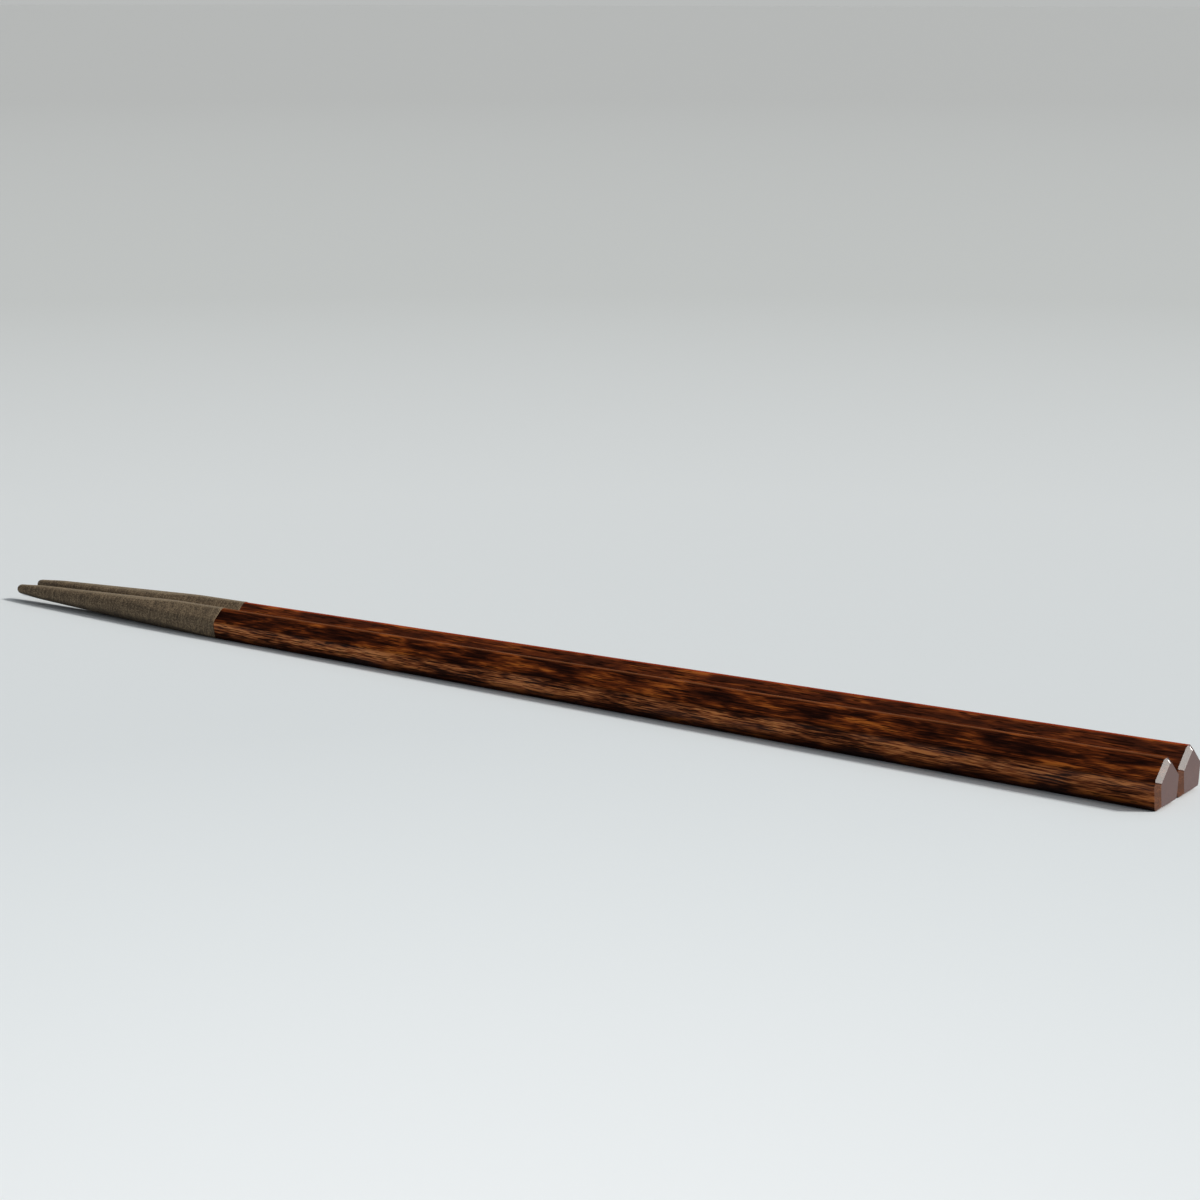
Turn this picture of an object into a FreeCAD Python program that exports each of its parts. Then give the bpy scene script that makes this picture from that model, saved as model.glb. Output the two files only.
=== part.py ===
import FreeCAD, Part
import math
import os

# Pair of lacquered hardwood chopsticks, all sizes in millimetres.
# Each stick is planed to a five-sided taper that lies on its flat base with a ridge on top. The last
# stretch is turned down to a slim round tip with a blunt nose, and dipped in a gritty matt grip coat.
# The two sticks lie side by side with their thick ends flush and their shoulders all but touching.
# Row frame: tips towards -X, thick ends towards +X, table at Z = 0, origin in the middle of the base.
# Along a stick, x counts from the tip. Across it, y is sideways and z is up.

# Whole stick
stick_length = 230.0
coat_length = 52.0

# Five-sided section at the thick end, to its sharp corners, and the height of the turning axis in it
end_height = 7.55
end_base_width = 6.3
end_shoulder_width = 7.5
end_shoulder_height = 4.25
end_axis_height = 3.2

# Height of the same section where the coat begins, which sets the taper
neck_height = 5.5

# Rounding of the long edges, and the cut round the thick end's face
base_edge_radius = 0.5
shoulder_radius = 1.2
ridge_radius = 1.2
bevel_length = 0.75
bevel_depth = 0.65
bevel_corner_radius = 0.6

# Turned tip, measured over the coat: a long cone, then a steeper short one that runs into a ball
cone_start_radius = 3.2
nose_length = 6.0
nose_radius = 1.3
ball_radius = 0.85

# Coat: how deep the wood is let in under it, and how far it stands proud of the side walls and the roof
coat_let_in = 0.13
coat_proud = 0.07

# Spigot of wood under the coat: its rounder long edges, and where it is cut off square inside the tip
spigot_edge_radius = 1.0
spigot_end = 1.0

# How the two sticks lie: clear space between the shoulders at the thick ends and between the coats' edges
end_gap = 0.4
neck_gap = 0.1

# Worked out from the sizes above
planed_length = stick_length - coat_length
taper = (end_height - neck_height) / planed_length / end_height
coat_thickness = coat_let_in + coat_proud
edge_radii = [base_edge_radius, base_edge_radius, shoulder_radius, ridge_radius, shoulder_radius]


def share_left(x):
    """How much of the thick end's section is left at x."""
    return 1.0 - taper * (stick_length - x)


def wall_between(start, end):
    """Outward normal of a wall of the thick end's section, and its distance from the turning axis."""
    dy = end[0] - start[0]
    dz = end[1] - start[1]
    length = math.hypot(dy, dz)
    normal = (dz / length, -dy / length)
    distance = normal[0] * start[0] + normal[1] * (start[1] - end_axis_height)
    return normal, distance


# Corners of the thick end's section, and the walls between them: base, right, right roof, left roof, left
end_corners = [
    (-end_base_width / 2.0, 0.0),
    (end_base_width / 2.0, 0.0),
    (end_shoulder_width / 2.0, end_shoulder_height),
    (0.0, end_height),
    (-end_shoulder_width / 2.0, end_shoulder_height),
]
walls = [wall_between(end_corners[i - 1], end_corners[i]) for i in (1, 2, 3, 4, 0)]


def wall_distances(x, base_out=0.0, sides_out=0.0):
    """Distance of each planed wall from the axis at x, with the base and the other walls moved out."""
    moved_out = [base_out] + [sides_out] * 4
    return [distance * share_left(x) + out for (normal, distance), out in zip(walls, moved_out)]


def section_ring(x, distances):
    """The section's five sharp corners at x, each where a wall crosses the one before it."""
    axis_height = end_axis_height * share_left(x)
    ring = []
    for i in range(5):
        (ay, az), (by, bz) = walls[i - 1][0], walls[i][0]
        cross = ay * bz - az * by
        y = (distances[i - 1] * bz - distances[i] * az) / cross
        z = (distances[i] * ay - distances[i - 1] * by) / cross
        ring.append(FreeCAD.Vector(x, y, z + axis_height))
    return ring


def five_sided_bar(start, start_distances, end, end_distances, radii):
    """Solid bar with five flat walls from one section to another, each long edge rounded to its radius."""
    first = section_ring(start, start_distances)
    last = section_ring(end, end_distances)
    outlines = [first[::-1], last]
    for i in range(5):
        j = (i + 1) % 5
        outlines.append([first[i], first[j], last[j], last[i]])
    faces = [Part.Face(Part.makePolygon(corners + corners[:1])) for corners in outlines]
    bar = Part.Solid(Part.Shell(faces))
    for i, radius in enumerate(radii):
        middle = Part.Vertex((first[i] + last[i]) / 2.0)
        bar = bar.makeFillet(radius, [min(bar.Edges, key=lambda edge: edge.distToShape(middle)[0])])
    return bar


def turned_envelope(inset):
    """Round form that the tip is turned to over the coat, or inside it by inset for the wood."""
    far_angle = math.atan((cone_start_radius - nose_radius) / (coat_length - nose_length))
    # The near cone is tangent to the ball
    reach = nose_length - ball_radius
    near_angle = math.atan2(nose_radius, reach) - math.asin(ball_radius / math.hypot(reach, nose_radius))
    # An inset moves the edge between the cones along the line that halves the angle between them
    middle_angle = (far_angle + near_angle) / 2.0
    edge_inset = inset / math.cos((near_angle - far_angle) / 2.0)
    ball = ball_radius - inset

    def on_ball(angle):
        """Point of the ball's outline where it climbs at this angle."""
        return FreeCAD.Vector(ball_radius - ball * math.sin(angle), 0, ball * math.cos(angle))

    tip = FreeCAD.Vector(inset, 0, 0)
    half_way = on_ball((math.pi / 2.0 + near_angle) / 2.0)
    near_start = on_ball(near_angle)
    far_start = FreeCAD.Vector(nose_length, 0, nose_radius)
    far_start += FreeCAD.Vector(math.sin(middle_angle), 0, -math.cos(middle_angle)) * edge_inset
    far_end = far_start + FreeCAD.Vector(1, 0, math.tan(far_angle)) * coat_length
    foot = FreeCAD.Vector(far_end.x, 0, 0)
    edges = [
        Part.Arc(tip, half_way, near_start).toShape(),
        Part.makeLine(near_start, far_start),
        Part.makeLine(far_start, far_end),
        Part.makeLine(far_end, foot),
        Part.makeLine(foot, tip),
    ]
    envelope = Part.Face(Part.Wire(edges)).revolve(FreeCAD.Vector(0, 0, 0), FreeCAD.Vector(1, 0, 0), 360)
    # The turning axis climbs towards the thick end as the taper widens
    climb = math.degrees(math.atan(end_axis_height * taper))
    envelope.rotate(FreeCAD.Vector(0, 0, 0), FreeCAD.Vector(0, 1, 0), -climb)
    envelope.translate(FreeCAD.Vector(0, 0, end_axis_height * share_left(0.0)))
    return envelope


def wooden_stick():
    """One solid of hardwood: long taper, bevelled thick end, and the thinner turned spigot under the coat."""
    neck = wall_distances(coat_length)
    end = wall_distances(stick_length)
    bar = five_sided_bar(coat_length, neck, stick_length, end, edge_radii)
    # The bevel's five slopes are carried back to the neck, where they stand far outside the stick
    widening = bevel_depth / bevel_length * (planed_length - bevel_length)
    far_out = [distance + widening for distance in neck]
    end_face = [distance - bevel_depth for distance in end]
    slopes = five_sided_bar(coat_length, far_out, stick_length, end_face, [bevel_corner_radius] * 5)
    cut_off = wall_distances(spigot_end, -coat_let_in, -coat_let_in)
    root = wall_distances(coat_length, -coat_let_in, -coat_let_in)
    spigot = five_sided_bar(spigot_end, cut_off, coat_length, root, [spigot_edge_radius] * 5)
    spigot = spigot.common(turned_envelope(coat_thickness))
    return bar.common(slopes).fuse(spigot).removeSplitter()


def tip_coat(wood):
    """Thin closed sleeve of grip coat on the spigot, a little proud of the wood except underneath."""
    past_tip = wall_distances(-nose_length, 0.0, coat_proud)
    edge = wall_distances(coat_length, 0.0, coat_proud)
    radii = [radius + coat_proud for radius in edge_radii]
    outside = five_sided_bar(-nose_length, past_tip, coat_length, edge, radii)
    return outside.common(turned_envelope(0.0)).cut(wood)


def laid_beside(shape, side):
    """A copy laid on the front (-1) or rear (+1) side of the middle line, toed in towards the tips."""
    end_spacing = end_shoulder_width + end_gap
    neck_spacing = end_shoulder_width * share_left(coat_length) + 2.0 * coat_proud + neck_gap
    toe_in = math.asin((end_spacing - neck_spacing) / 2.0 / planed_length)
    tip_spacing = end_spacing - 2.0 * stick_length * math.sin(toe_in)
    laid = shape.copy()
    laid.rotate(FreeCAD.Vector(0, 0, 0), FreeCAD.Vector(0, 0, 1), math.degrees(toe_in) * side)
    laid.translate(FreeCAD.Vector(0, tip_spacing / 2.0 * side, 0))
    return laid


wood = wooden_stick()
coat = tip_coat(wood)

nodes = {
    "front_stick": laid_beside(wood, -1),
    "front_tip_coat": laid_beside(coat, -1),
    "rear_stick": laid_beside(wood, 1),
    "rear_tip_coat": laid_beside(coat, 1),
}

box = Part.makeCompound(list(nodes.values())).optimalBoundingBox(False)
to_origin = FreeCAD.Vector(-(box.XMin + box.XMax) / 2.0, -(box.YMin + box.YMax) / 2.0, 0)

os.makedirs("parts", exist_ok=True)
for name, shape in nodes.items():
    shape.translate(to_origin)
    shape.exportStep("parts/" + name + ".step")
    print(name, "valid", shape.isValid(), "solids", len(shape.Solids), "volume", round(shape.Volume, 2))
print("length", round(box.XLength, 2), "width", round(box.YLength, 2), "height", round(box.ZMax, 2))
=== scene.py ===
import math

import bmesh
import bpy
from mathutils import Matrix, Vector


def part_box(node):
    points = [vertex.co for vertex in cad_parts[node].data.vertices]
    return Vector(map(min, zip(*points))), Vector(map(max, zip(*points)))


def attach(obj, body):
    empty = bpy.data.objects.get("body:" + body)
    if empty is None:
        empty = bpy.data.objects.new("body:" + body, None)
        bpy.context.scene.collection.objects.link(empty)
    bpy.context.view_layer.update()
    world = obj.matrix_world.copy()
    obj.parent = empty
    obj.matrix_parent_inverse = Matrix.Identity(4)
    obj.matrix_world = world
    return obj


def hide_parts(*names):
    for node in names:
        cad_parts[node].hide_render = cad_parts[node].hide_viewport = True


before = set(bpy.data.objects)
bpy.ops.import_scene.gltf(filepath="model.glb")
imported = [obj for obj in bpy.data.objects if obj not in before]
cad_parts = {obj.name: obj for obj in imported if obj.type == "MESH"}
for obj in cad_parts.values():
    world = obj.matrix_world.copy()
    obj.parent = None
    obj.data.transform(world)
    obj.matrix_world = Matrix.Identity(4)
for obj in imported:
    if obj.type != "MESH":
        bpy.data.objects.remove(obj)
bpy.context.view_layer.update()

# Sticks. Each is one length of close-grained red-brown hardwood, planed to five sides that taper from the
# thick end, with its long edges eased and a bevel cut round the end face. It is stained and then sealed
# under several coats of clear lacquer, which leave fine grain, amber streaks and dark pores to be seen.

mm = 0.001


def linear(hex_colour):
    """An sRGB hex colour as the linear colour that a socket takes."""
    channels = [int(hex_colour[i:i + 2], 16) / 255.0 for i in (1, 3, 5)]
    return [c / 12.92 if c <= 0.04045 else ((c + 0.055) / 1.055) ** 2.4 for c in channels] + [1.0]


def add(tree, kind, inputs=None, stops=None, **settings):
    """Adds a node. An input is a value or a socket to link, and stops are a colour ramp's."""
    node = tree.nodes.new(kind)
    for name, value in settings.items():
        setattr(node, name, value)
    if stops:
        elements = node.color_ramp.elements
        for place, colour in stops[1:-1]:
            elements.new(place)
        for element, (place, colour) in zip(elements, stops):
            element.position = place
            element.color = linear(colour)
    for name, value in (inputs or {}).items():
        if isinstance(value, bpy.types.NodeSocket):
            tree.links.new(value, node.inputs[name])
        else:
            node.inputs[name].default_value = value
    return node


def lacquered_hardwood():
    """Stained hardwood under clear satin lacquer: dark streaks on amber, a painted sheen up the sides,
    painted shade at their foot and a painted highlight on the ridge.
    """
    material = bpy.data.materials.new("lacquered_hardwood")
    material.use_nodes = True
    tree = material.node_tree
    tree.nodes.clear()
    coordinates = add(tree, "ShaderNodeTexCoord")
    place = coordinates.outputs["Object"]
    at = add(tree, "ShaderNodeSeparateXYZ", {"Vector": place}).outputs
    facing = add(tree, "ShaderNodeSeparateXYZ", {"Vector": coordinates.outputs["Normal"]}).outputs

    # Noise drawn out along the stick, with the length and width of its marks in millimetres
    marks = {}
    for name, length, width, detail, roughness, distortion in (
        ("figure", 9.0, 1.7, 2.0, 0.55, 0.4),
        ("streaks", 7.0, 0.36, 2.0, 0.6, 0.0),
        ("fibres", 2.6, 0.13, 1.0, 0.6, 0.0),
        ("pores", 3.2, 0.2, 1.0, 0.5, 0.0),
        ("thick_lacquer", 12.0, 2.0, 1.0, 0.5, 0.0),
    ):
        scale = (1.0 / (length * mm), 1.0 / (width * mm), 1.0 / (width * mm))
        drawn_out = add(tree, "ShaderNodeMapping", {"Vector": place, "Scale": scale}).outputs["Vector"]
        marks[name] = add(tree, "ShaderNodeTexNoise", {
            "Vector": drawn_out,
            "Scale": 1.0,
            "Detail": detail,
            "Roughness": roughness,
            "Distortion": distortion,
        }).outputs["Fac"]

    # Streaks along the grain and fine fibres lie over a broad figure of early and late wood
    grain = add(tree, "ShaderNodeMix", {0: 0.5, 2: marks["streaks"], 3: marks["fibres"]}).outputs[0]
    mixed = add(tree, "ShaderNodeMix", {0: 0.45, 2: marks["figure"], 3: grain}).outputs[0]
    wood = add(tree, "ShaderNodeValToRGB", {"Fac": mixed}, stops=[
        (0.39, "#1c0a06"),
        (0.45, "#34150a"),
        (0.50, "#50220e"),
        (0.55, "#773816"),
        (0.61, "#a85c24"),
    ]).outputs["Color"]

    # A paler palette, in which the finer marks show more, for the painted sheen: a painted reflection of the
    # pale table in the lacquer
    finer = add(tree, "ShaderNodeMix", {0: 0.65, 2: marks["figure"], 3: grain}).outputs[0]
    painted_sheen_wood = add(tree, "ShaderNodeValToRGB", {"Fac": finer}, stops=[
        (0.40, "#26120a"),
        (0.44, "#4e2412"),
        (0.48, "#7e4224"),
        (0.52, "#ae663a"),
        (0.57, "#d88a52"),
    ]).outputs["Color"]

    # Height up a side wall, from 0 at the base to 1 at the shoulder, which comes lower with the taper
    thick_end = 115.0 * mm
    shoulder_height = 4.25 * mm
    taper_per_metre = 1.525
    shoulder_at_middle = (1.0 - taper_per_metre * thick_end) * shoulder_height
    shoulder = add(tree, "ShaderNodeMath", operation="MULTIPLY_ADD", inputs={
        0: at["X"],
        1: taper_per_metre * shoulder_height,
        2: shoulder_at_middle,
    }).outputs[0]
    up_side = add(tree, "ShaderNodeMath", {0: at["Z"], 1: shoulder}, operation="DIVIDE").outputs[0]

    # Soft steps: a measure, where it is still none, where it is whole, and how much that comes to
    soft = {}
    for name, measure, none, whole, most in (
        ("rear_stick", at["Y"], -0.5 * mm, 0.5 * mm, 1.0),
        # towards_tip, side, above_foot and below_shoulder place the painted sheen, and foot the painted shade
        # along the foot of the sides
        ("towards_tip", at["X"], 400.0 * mm, -100.0 * mm, 1.0),
        ("side", facing["Z"], 0.62, 0.30, 1.0),
        ("above_foot", up_side, 0.10, 0.60, 1.0),
        ("below_shoulder", up_side, 1.06, 0.82, 1.0),
        ("foot", up_side, 0.42, 0.06, 0.85),
        ("clear_of_end", facing["X"], 0.5, 0.2, 1.0),
        ("pores", marks["pores"], 0.54, 0.63, 0.8),
        # The painted highlight along the ridge
        ("ridge", facing["Z"], 0.90, 0.99, 0.6),
        ("bevel", facing["X"], 0.4, 0.6, 0.75),
        ("upper_bevel", facing["Z"], 0.1, 0.4, 1.0),
        ("end_grain", facing["X"], 0.75, 0.9, 1.0),
        ("sealed_end", facing["X"], 0.3, 0.6, 1.0),
        ("thick_lacquer", marks["thick_lacquer"], 0.45, 0.65, 0.15),
        ("clear_of_ridge", facing["Z"], 0.97, 0.84, 1.0),
    ):
        soft[name] = add(tree, "ShaderNodeMapRange", interpolation_type="SMOOTHSTEP", inputs={
            "Value": measure,
            "From Min": none,
            "From Max": whole,
            "To Max": most,
        }).outputs["Result"]

    # Amounts that take more than one of these at once
    amounts = {}
    for name, first, *others in (
        ("rear_tint", soft["rear_stick"], 0.12),
        # A painted sheen up the side walls, and painted shade along their foot
        ("painted_sheen", soft["side"], soft["above_foot"], soft["below_shoulder"], soft["towards_tip"]),
        ("painted_foot_shade", soft["side"], soft["foot"], soft["clear_of_end"]),
        ("pale_end", soft["end_grain"], 0.9),
        ("satin", soft["thick_lacquer"], soft["clear_of_ridge"]),
    ):
        amounts[name] = first
        for other in others:
            product = add(tree, "ShaderNodeMath", {0: amounts[name], 1: other}, operation="MULTIPLY")
            amounts[name] = product.outputs[0]

    # The painted highlight along the ridge is tan on the front stick and orange-red on the rear one, and the
    # bevel is darker above
    shades = {}
    for name, amount, first, other in (
        ("ridge", soft["rear_stick"], "#804822", "#a83a0c"),
        ("bevel", soft["upper_bevel"], "#7a4a2e", "#3c2a26"),
    ):
        shades[name] = add(tree, "ShaderNodeMix", data_type="RGBA", inputs={
            0: amount,
            6: linear(first),
            7: linear(other),
        }).outputs[2]

    # Over the plain wood come a paler, redder tint on the rear stick, a painted sheen up the sides, most
    # towards the tips, painted shade along the foot of the sides, pores as short dark dashes, the painted
    # highlight on the ridge, the bevel and the even end grain
    for amount, colour in (
        (amounts["rear_tint"], linear("#a0583c")),
        (amounts["painted_sheen"], painted_sheen_wood),
        (amounts["painted_foot_shade"], linear("#140704")),
        (soft["pores"], linear("#180805")),
        (soft["ridge"], shades["ridge"]),
        (soft["bevel"], shades["bevel"]),
        (amounts["pale_end"], linear("#56413f")),
    ):
        wood = add(tree, "ShaderNodeMix", {0: amount, 6: wood, 7: colour}, data_type="RGBA").outputs[2]

    # The lacquer shines most on the bevel, half as much on the end grain, and in faint patches elsewhere
    on_end = add(tree, "ShaderNodeMath", operation="MULTIPLY_ADD", inputs={
        0: soft["end_grain"],
        1: -0.5,
        2: soft["sealed_end"],
    }).outputs[0]
    sealed = add(tree, "ShaderNodeMath", {0: on_end, 1: amounts["satin"]}, operation="MAXIMUM").outputs[0]
    relief = add(tree, "ShaderNodeBump", {"Height": mixed, "Strength": 0.2, "Distance": 0.02 * mm})
    surface = add(tree, "ShaderNodeBsdfPrincipled", {
        "Base Color": wood,
        "Roughness": 0.5,
        "Specular IOR Level": 0.03,
        "Coat Weight": sealed,
        "Coat Roughness": 0.16,
        "Coat IOR": 1.5,
        "Normal": relief.outputs["Normal"],
    })
    add(tree, "ShaderNodeOutputMaterial", {"Surface": surface.outputs["BSDF"]})
    return material


def edit(piece):
    """Opens one piece in edit mode, set to select edges, with nothing else selected."""
    bpy.ops.object.select_all(action="DESELECT")
    piece.select_set(True)
    bpy.context.view_layer.objects.active = piece
    bpy.ops.object.mode_set(mode="EDIT")
    bpy.ops.mesh.select_mode(type="EDGE")


def select_edges(piece, wanted):
    """Selects the edges that the test wants, and only them."""
    bpy.ops.mesh.select_all(action="DESELECT")
    mesh = bmesh.from_edit_mesh(piece.data)
    for edge in mesh.edges:
        if wanted(edge):
            edge.select_set(True)
    bmesh.update_edit_mesh(piece.data)


def lacquered_stick(node, name):
    """The planed stick, with the sharp edges of its end bevel drowned in lacquer."""
    weld_distance = 0.001 * mm
    flat_angle = math.radians(0.5)
    sharp_angle = math.radians(25.0)
    smooth_angle = math.radians(30.0)
    lacquer_radius = 0.12 * mm
    bevel_zone = 1.0 * mm
    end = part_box(node)[1].x
    piece = bpy.data.objects.new(name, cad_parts[node].data.copy())
    bpy.context.scene.collection.objects.link(piece)
    edit(piece)
    bpy.ops.mesh.select_all(action="SELECT")
    bpy.ops.mesh.remove_doubles(threshold=weld_distance)
    bpy.ops.mesh.dissolve_limited(angle_limit=flat_angle)

    def sharp_at_end(edge):
        near_end = min(vertex.co.x for vertex in edge.verts) > end - bevel_zone
        return near_end and edge.calc_face_angle(0.0) > sharp_angle

    select_edges(piece, sharp_at_end)
    bpy.ops.mesh.bevel(offset=lacquer_radius, segments=3, affect="EDGES", clamp_overlap=True)
    bpy.ops.object.mode_set(mode="OBJECT")
    bpy.ops.object.shade_smooth_by_angle(angle=smooth_angle)
    bpy.ops.object.modifier_add(type="WEIGHTED_NORMAL")
    piece.modifiers[-1].keep_sharp = True
    bpy.ops.object.modifier_apply(modifier=piece.modifiers[-1].name)
    piece.data.materials.clear()
    piece.data.materials.append(wood_finish)
    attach(piece, "root")
    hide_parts(node)


wood_finish = lacquered_hardwood()
for side in ("front", "rear"):
    lacquered_stick(side + "_stick", side + "_lacquered_stick")

# Grip coats. The tips are dipped in a gritty urethane paint that dries matt and olive grey, so that food
# doesn't slip. The paint softens the edges under it, gathers in a thin bead where the dip ends, and closes
# over the blunt point.


def gritty_coat():
    """Matt urethane paint with fine grit in it: rough, olive grey, faintly ringed by the dipping."""
    grit_size = 0.25 * mm
    ring_spacing = 0.4 * mm
    ring_length = 2.5 * mm
    material = bpy.data.materials.new("gritty_urethane_coat")
    material.use_nodes = True
    tree = material.node_tree
    tree.nodes.clear()
    coordinates = add(tree, "ShaderNodeTexCoord")
    place = coordinates.outputs["Object"]
    up = add(tree, "ShaderNodeSeparateXYZ", {"Vector": coordinates.outputs["Normal"]}).outputs["Z"]

    # Grit, drawn as coarse as it needs to show, and rings that the paint leaves across the stick as it drains
    grit = add(tree, "ShaderNodeTexNoise", {"Vector": place, "Scale": 1.0 / grit_size, "Detail": 2.0})
    ring_scale = (1.0 / ring_spacing, 1.0 / ring_length, 1.0 / ring_length)
    across = add(tree, "ShaderNodeMapping", {"Vector": place, "Scale": ring_scale}).outputs["Vector"]
    rings = add(tree, "ShaderNodeTexNoise", {"Vector": across, "Scale": 1.0, "Detail": 2.0}).outputs["Fac"]
    mixed = add(tree, "ShaderNodeMix", {0: 0.32, 2: grit.outputs["Fac"], 3: rings}).outputs[0]
    paint = add(tree, "ShaderNodeValToRGB", {"Fac": mixed}, stops=[
        (0.40, "#4c3f30"),
        (0.50, "#6b5a45"),
        (0.60, "#8a765b"),
    ]).outputs["Color"]

    # Painted highlight along the ridge, and painted shade underneath
    for none, whole, most, colour in ((0.86, 0.99, 0.35, "#94866f"), (-0.1, -0.6, 0.6, "#2c251c")):
        amount = add(tree, "ShaderNodeMapRange", interpolation_type="SMOOTHSTEP", inputs={
            "Value": up,
            "From Min": none,
            "From Max": whole,
            "To Max": most,
        }).outputs["Result"]
        layer = {0: amount, 6: paint, 7: linear(colour)}
        paint = add(tree, "ShaderNodeMix", layer, data_type="RGBA").outputs[2]
    relief = add(tree, "ShaderNodeBump", {
        "Height": grit.outputs["Fac"],
        "Strength": 0.6,
        "Distance": 0.04 * mm,
    })
    surface = add(tree, "ShaderNodeBsdfPrincipled", {
        "Base Color": paint,
        "Roughness": 0.8,
        "IOR": 1.45,
        "Normal": relief.outputs["Normal"],
    })
    add(tree, "ShaderNodeOutputMaterial", {"Surface": surface.outputs["BSDF"]})
    return material


def dipped_coat(node, name):
    """A sleeve of paint drawn over the tip: a tube shrunk onto the stick's form, eased and given a wall."""
    around = 96
    row_spacing = 1.0 * mm
    ball_radius = 0.85 * mm
    ball_rows = 7
    clear_of_corners = 3.5 * mm
    clear_of_point = 1.5 * mm
    rim_zone = 0.05 * mm
    wall = 0.18 * mm
    bead = 0.05 * mm
    lip_radius = 0.05 * mm
    lip_angle = math.radians(60.0)
    smooth_angle = math.radians(50.0)

    # The tube's axis runs from the point to the middle of the coat's edge
    points = [vertex.co.copy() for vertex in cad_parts[node].data.vertices]
    tip = min(points, key=lambda point: point.x)
    edge_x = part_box(node)[1].x
    rim = [point for point in points if point.x > edge_x - rim_zone]
    rim_middle = Vector(((min(p[i] for p in rim) + max(p[i] for p in rim)) / 2.0 for i in range(3)))
    run = Vector((rim_middle.x - tip.x, rim_middle.y - tip.y, 0.0))
    start = tip + run.normalized() * ball_radius
    length = run.length - ball_radius
    middle = start + run.normalized() * length / 2.0
    turn = math.atan2(run.y, run.x)
    bpy.ops.object.select_all(action="DESELECT")
    bpy.ops.mesh.primitive_cone_add(
        vertices=around,
        radius1=clear_of_corners,
        radius2=clear_of_point,
        depth=length,
        end_fill_type="NOTHING",
        location=middle,
        rotation=(0.0, -math.pi / 2.0, turn),
    )
    piece = bpy.context.object
    piece.name = name
    piece.data.name = name
    bpy.ops.object.transform_apply(location=True, rotation=True, scale=True)
    edit(piece)
    select_edges(piece, lambda edge: abs(edge.verts[0].co.x - edge.verts[1].co.x) > length / 2.0)
    bpy.ops.mesh.subdivide(number_cuts=round(length / row_spacing) - 1)

    # The blunt point is a half ball of ever smaller rings, and closes a quarter of a row past the last one
    select_edges(piece, lambda edge: max(vertex.co.x for vertex in edge.verts) < start.x + row_spacing / 4.0)
    for i in range(1, ball_rows):
        before = math.pi / 2.0 * (i - 1) / ball_rows
        after = math.pi / 2.0 * i / ball_rows
        step = -ball_radius * (math.sin(after) - math.sin(before))
        shrink = math.cos(after) / math.cos(before)
        bpy.ops.mesh.extrude_region_move(TRANSFORM_OT_translate={"value": (step, 0.0, 0.0)})
        bpy.ops.transform.resize(value=(1.0, shrink, shrink))
    bpy.ops.mesh.extrude_region_move(TRANSFORM_OT_translate={"value": (step / 4.0, 0.0, 0.0)})
    bpy.ops.mesh.merge(type="CENTER")
    bpy.ops.mesh.select_all(action="SELECT")
    bpy.ops.mesh.normals_make_consistent(inside=False)
    bpy.ops.object.mode_set(mode="OBJECT")
    bpy.ops.object.modifier_add(type="SHRINKWRAP")
    piece.modifiers[-1].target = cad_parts[node]
    bpy.ops.object.modifier_apply(modifier=piece.modifiers[-1].name)

    # Paint eases the edges, and gathers in a bead at the end of the dip
    edit(piece)
    bpy.ops.mesh.select_all(action="SELECT")
    bpy.ops.mesh.vertices_smooth(factor=0.5, repeat=3, xaxis=False)
    select_edges(piece, lambda edge: edge.is_boundary)
    mesh = bmesh.from_edit_mesh(piece.data)
    for vertex in mesh.verts:
        if vertex.select:
            outward = Vector((0.0, vertex.co.y - rim_middle.y, vertex.co.z - rim_middle.z)).normalized()
            vertex.co += outward * bead
            vertex.co.z = max(vertex.co.z, 0.0)
    bmesh.update_edit_mesh(piece.data)
    bpy.ops.object.mode_set(mode="OBJECT")
    bpy.ops.object.modifier_add(type="SOLIDIFY")
    piece.modifiers[-1].thickness = wall
    piece.modifiers[-1].offset = -1.0
    bpy.ops.object.modifier_apply(modifier=piece.modifiers[-1].name)
    edit(piece)

    def lip(edge):
        at_rim = min(vertex.co.x for vertex in edge.verts) > rim_middle.x - row_spacing / 4.0
        return at_rim and edge.calc_face_angle(0.0) > lip_angle

    select_edges(piece, lip)
    bpy.ops.mesh.bevel(offset=lip_radius, segments=2, affect="EDGES")
    bpy.ops.object.mode_set(mode="OBJECT")
    bpy.ops.object.shade_smooth_by_angle(angle=smooth_angle)
    piece.data.materials.append(coat_finish)
    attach(piece, "root")
    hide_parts(node)


coat_finish = gritty_coat()
for side in ("front", "rear"):
    dipped_coat(side + "_tip_coat", side + "_dipped_coat")

# Table and studio. The sticks lie on a plain table top, painted pale and a little cool, in soft daylight
# from windows on the right. It runs on to the horizon, and a painted pool of light in front of the sticks
# greys with the distance.


def table_paint():
    """Pale matt paint, a little cool, with a painted pool of light in front of the sticks that greys further
    off.
    """
    material = bpy.data.materials.new("pale_table_paint")
    material.use_nodes = True
    tree = material.node_tree
    tree.nodes.clear()
    place = add(tree, "ShaderNodeTexCoord").outputs["Object"]
    # Centre of the painted pool of light, and the distance over which it greys out
    brightest = (0.15, -0.2, 0.0)
    greyest = 3.0
    away = add(tree, "ShaderNodeVectorMath", {0: place, 1: brightest}, operation="DISTANCE").outputs["Value"]
    away = add(tree, "ShaderNodeMath", {0: away, 1: greyest}, operation="DIVIDE").outputs[0]
    paint = add(tree, "ShaderNodeValToRGB", {"Fac": away}, stops=[
        (0.02, "#ecf0f3"),
        (0.045, "#e1e6e9"),
        (0.075, "#d5dadd"),
        (0.14, "#d4d8da"),
        (0.28, "#c2c5c5"),
        (0.93, "#b8baba"),
    ]).outputs["Color"]
    surface = add(tree, "ShaderNodeBsdfPrincipled", {
        "Base Color": paint,
        "Roughness": 0.9,
        "Specular IOR Level": 0.2,
    })
    add(tree, "ShaderNodeOutputMaterial", {"Surface": surface.outputs["BSDF"]})
    return material


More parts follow.
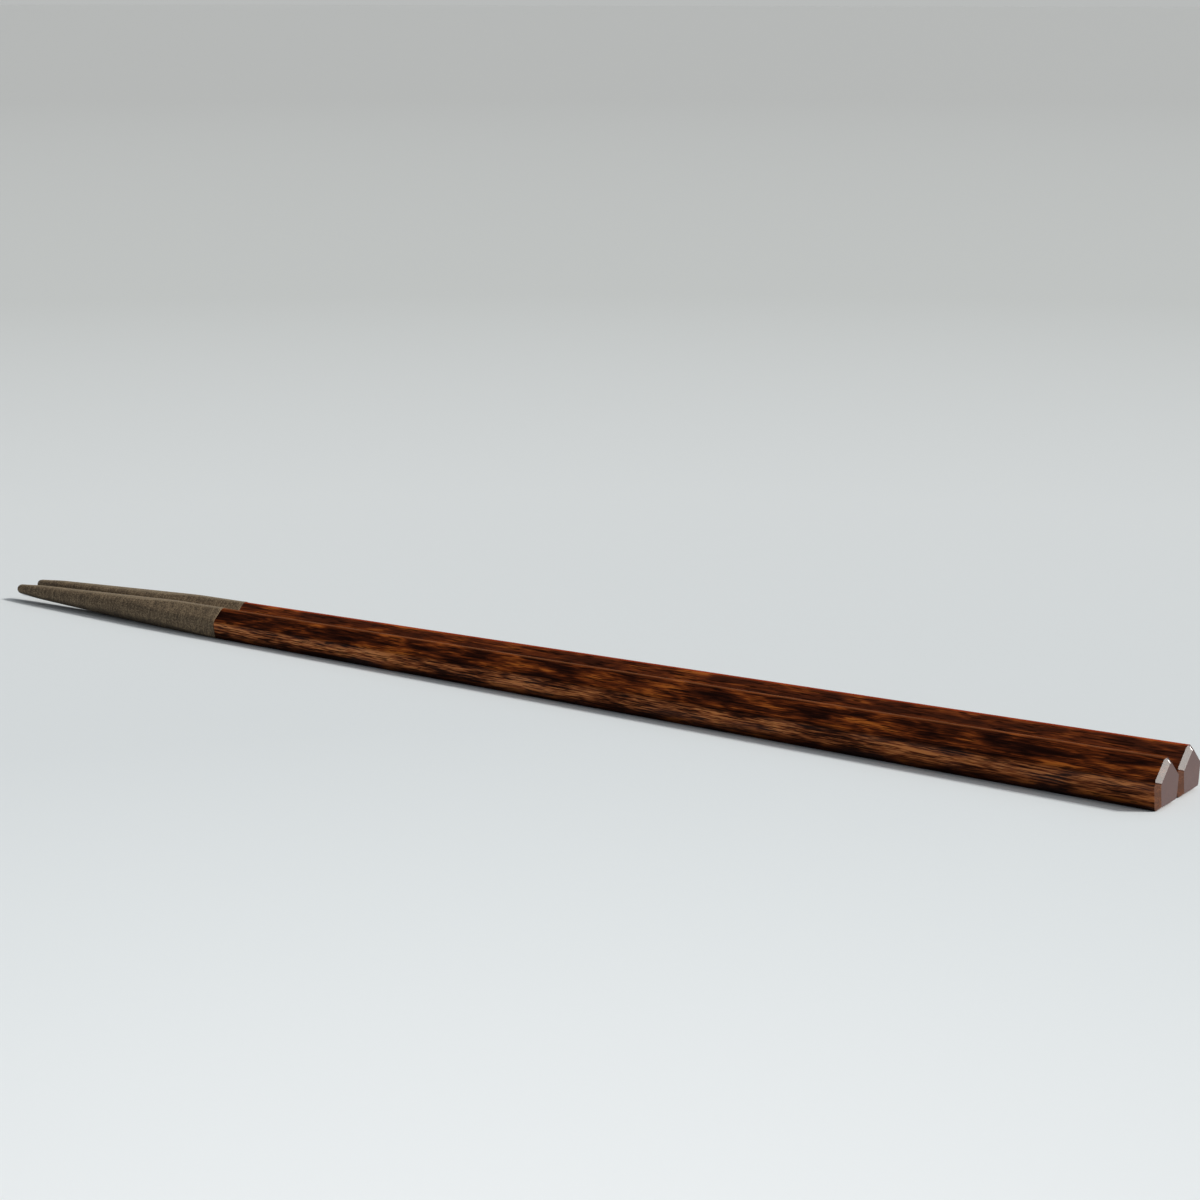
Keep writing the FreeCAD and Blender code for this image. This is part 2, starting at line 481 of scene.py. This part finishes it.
def soft_light(name, direction, breadth, strength, colour):
    """Even daylight from this direction, through a window so many degrees across."""
    lamp = bpy.data.lights.new(name, "SUN")
    lamp.angle = math.radians(breadth)
    lamp.energy = strength
    lamp.color = linear(colour)[:3]
    holder = bpy.data.objects.new(name, lamp)
    holder.rotation_euler = Vector(direction).to_track_quat("Z", "Y").to_euler()
    bpy.context.scene.collection.objects.link(holder)


table_size = 60.0
bpy.ops.object.select_all(action="DESELECT")
bpy.ops.mesh.primitive_plane_add(size=table_size)
table = bpy.context.object
table.name = "table_top"
table.data.materials.append(table_paint())

soft_light("near_window", (0.73, 0.05, 0.68), 14.0, 0.4, "#fffdf8")
soft_light("far_window", (0.70, 0.34, 0.63), 10.0, 3.0, "#fffdf8")
soft_light("skylight", (0.30, 0.55, 0.78), 60.0, 0.5, "#f6f9ff")

# Only the camera and mirrored rays see the backdrop, by its height, and the room lights the rest evenly
world = bpy.data.worlds.new("studio")
bpy.context.scene.world = world
world.use_nodes = True
tree = world.node_tree
tree.nodes.clear()
rays = add(tree, "ShaderNodeLightPath").outputs
shown = add(tree, "ShaderNodeMath", {0: rays["Is Camera Ray"], 1: rays["Is Glossy Ray"]})
shown = add(tree, "ShaderNodeMath", {0: shown.outputs[0], 1: rays["Is Transmission Ray"]}, use_clamp=True)
direction = add(tree, "ShaderNodeTexCoord").outputs["Generated"]
height = add(tree, "ShaderNodeSeparateXYZ", {"Vector": direction}).outputs["Z"]
backdrop = add(tree, "ShaderNodeValToRGB", {"Fac": height}, stops=[
    (0.0, "#b9bbba"),
    (0.12, "#c6cacb"),
    (0.45, "#3a3c3e"),
    (1.0, "#2a2b2d"),
])
ambient = add(tree, "ShaderNodeBackground", {"Color": linear("#eef3f8"), "Strength": 0.22})
seen = add(tree, "ShaderNodeBackground", {"Color": backdrop.outputs["Color"], "Strength": 1.0})
sky = add(tree, "ShaderNodeMixShader", {0: shown.outputs[0], 1: ambient.outputs[0], 2: seen.outputs[0]})
add(tree, "ShaderNodeOutputWorld", {"Surface": sky.outputs[0]})

# Camera. It stands in front of the thick ends, a hand's breadth above the table, and looks across the pair
# towards the tips.
camera_place = Vector((252.5, -342.2, 110.2)) * mm
camera_aim = Vector((-0.5549, 0.8022, -0.2204))
lens = bpy.data.cameras.new("camera")
lens.lens = 80.0
lens.sensor_width = 36.0
lens.clip_start = 0.01
camera = bpy.data.objects.new("camera", lens)
camera.location = camera_place
camera.rotation_euler = camera_aim.to_track_quat("-Z", "Y").to_euler()
bpy.context.scene.collection.objects.link(camera)
bpy.context.scene.camera = camera
bpy.context.scene.view_settings.view_transform = "Standard"
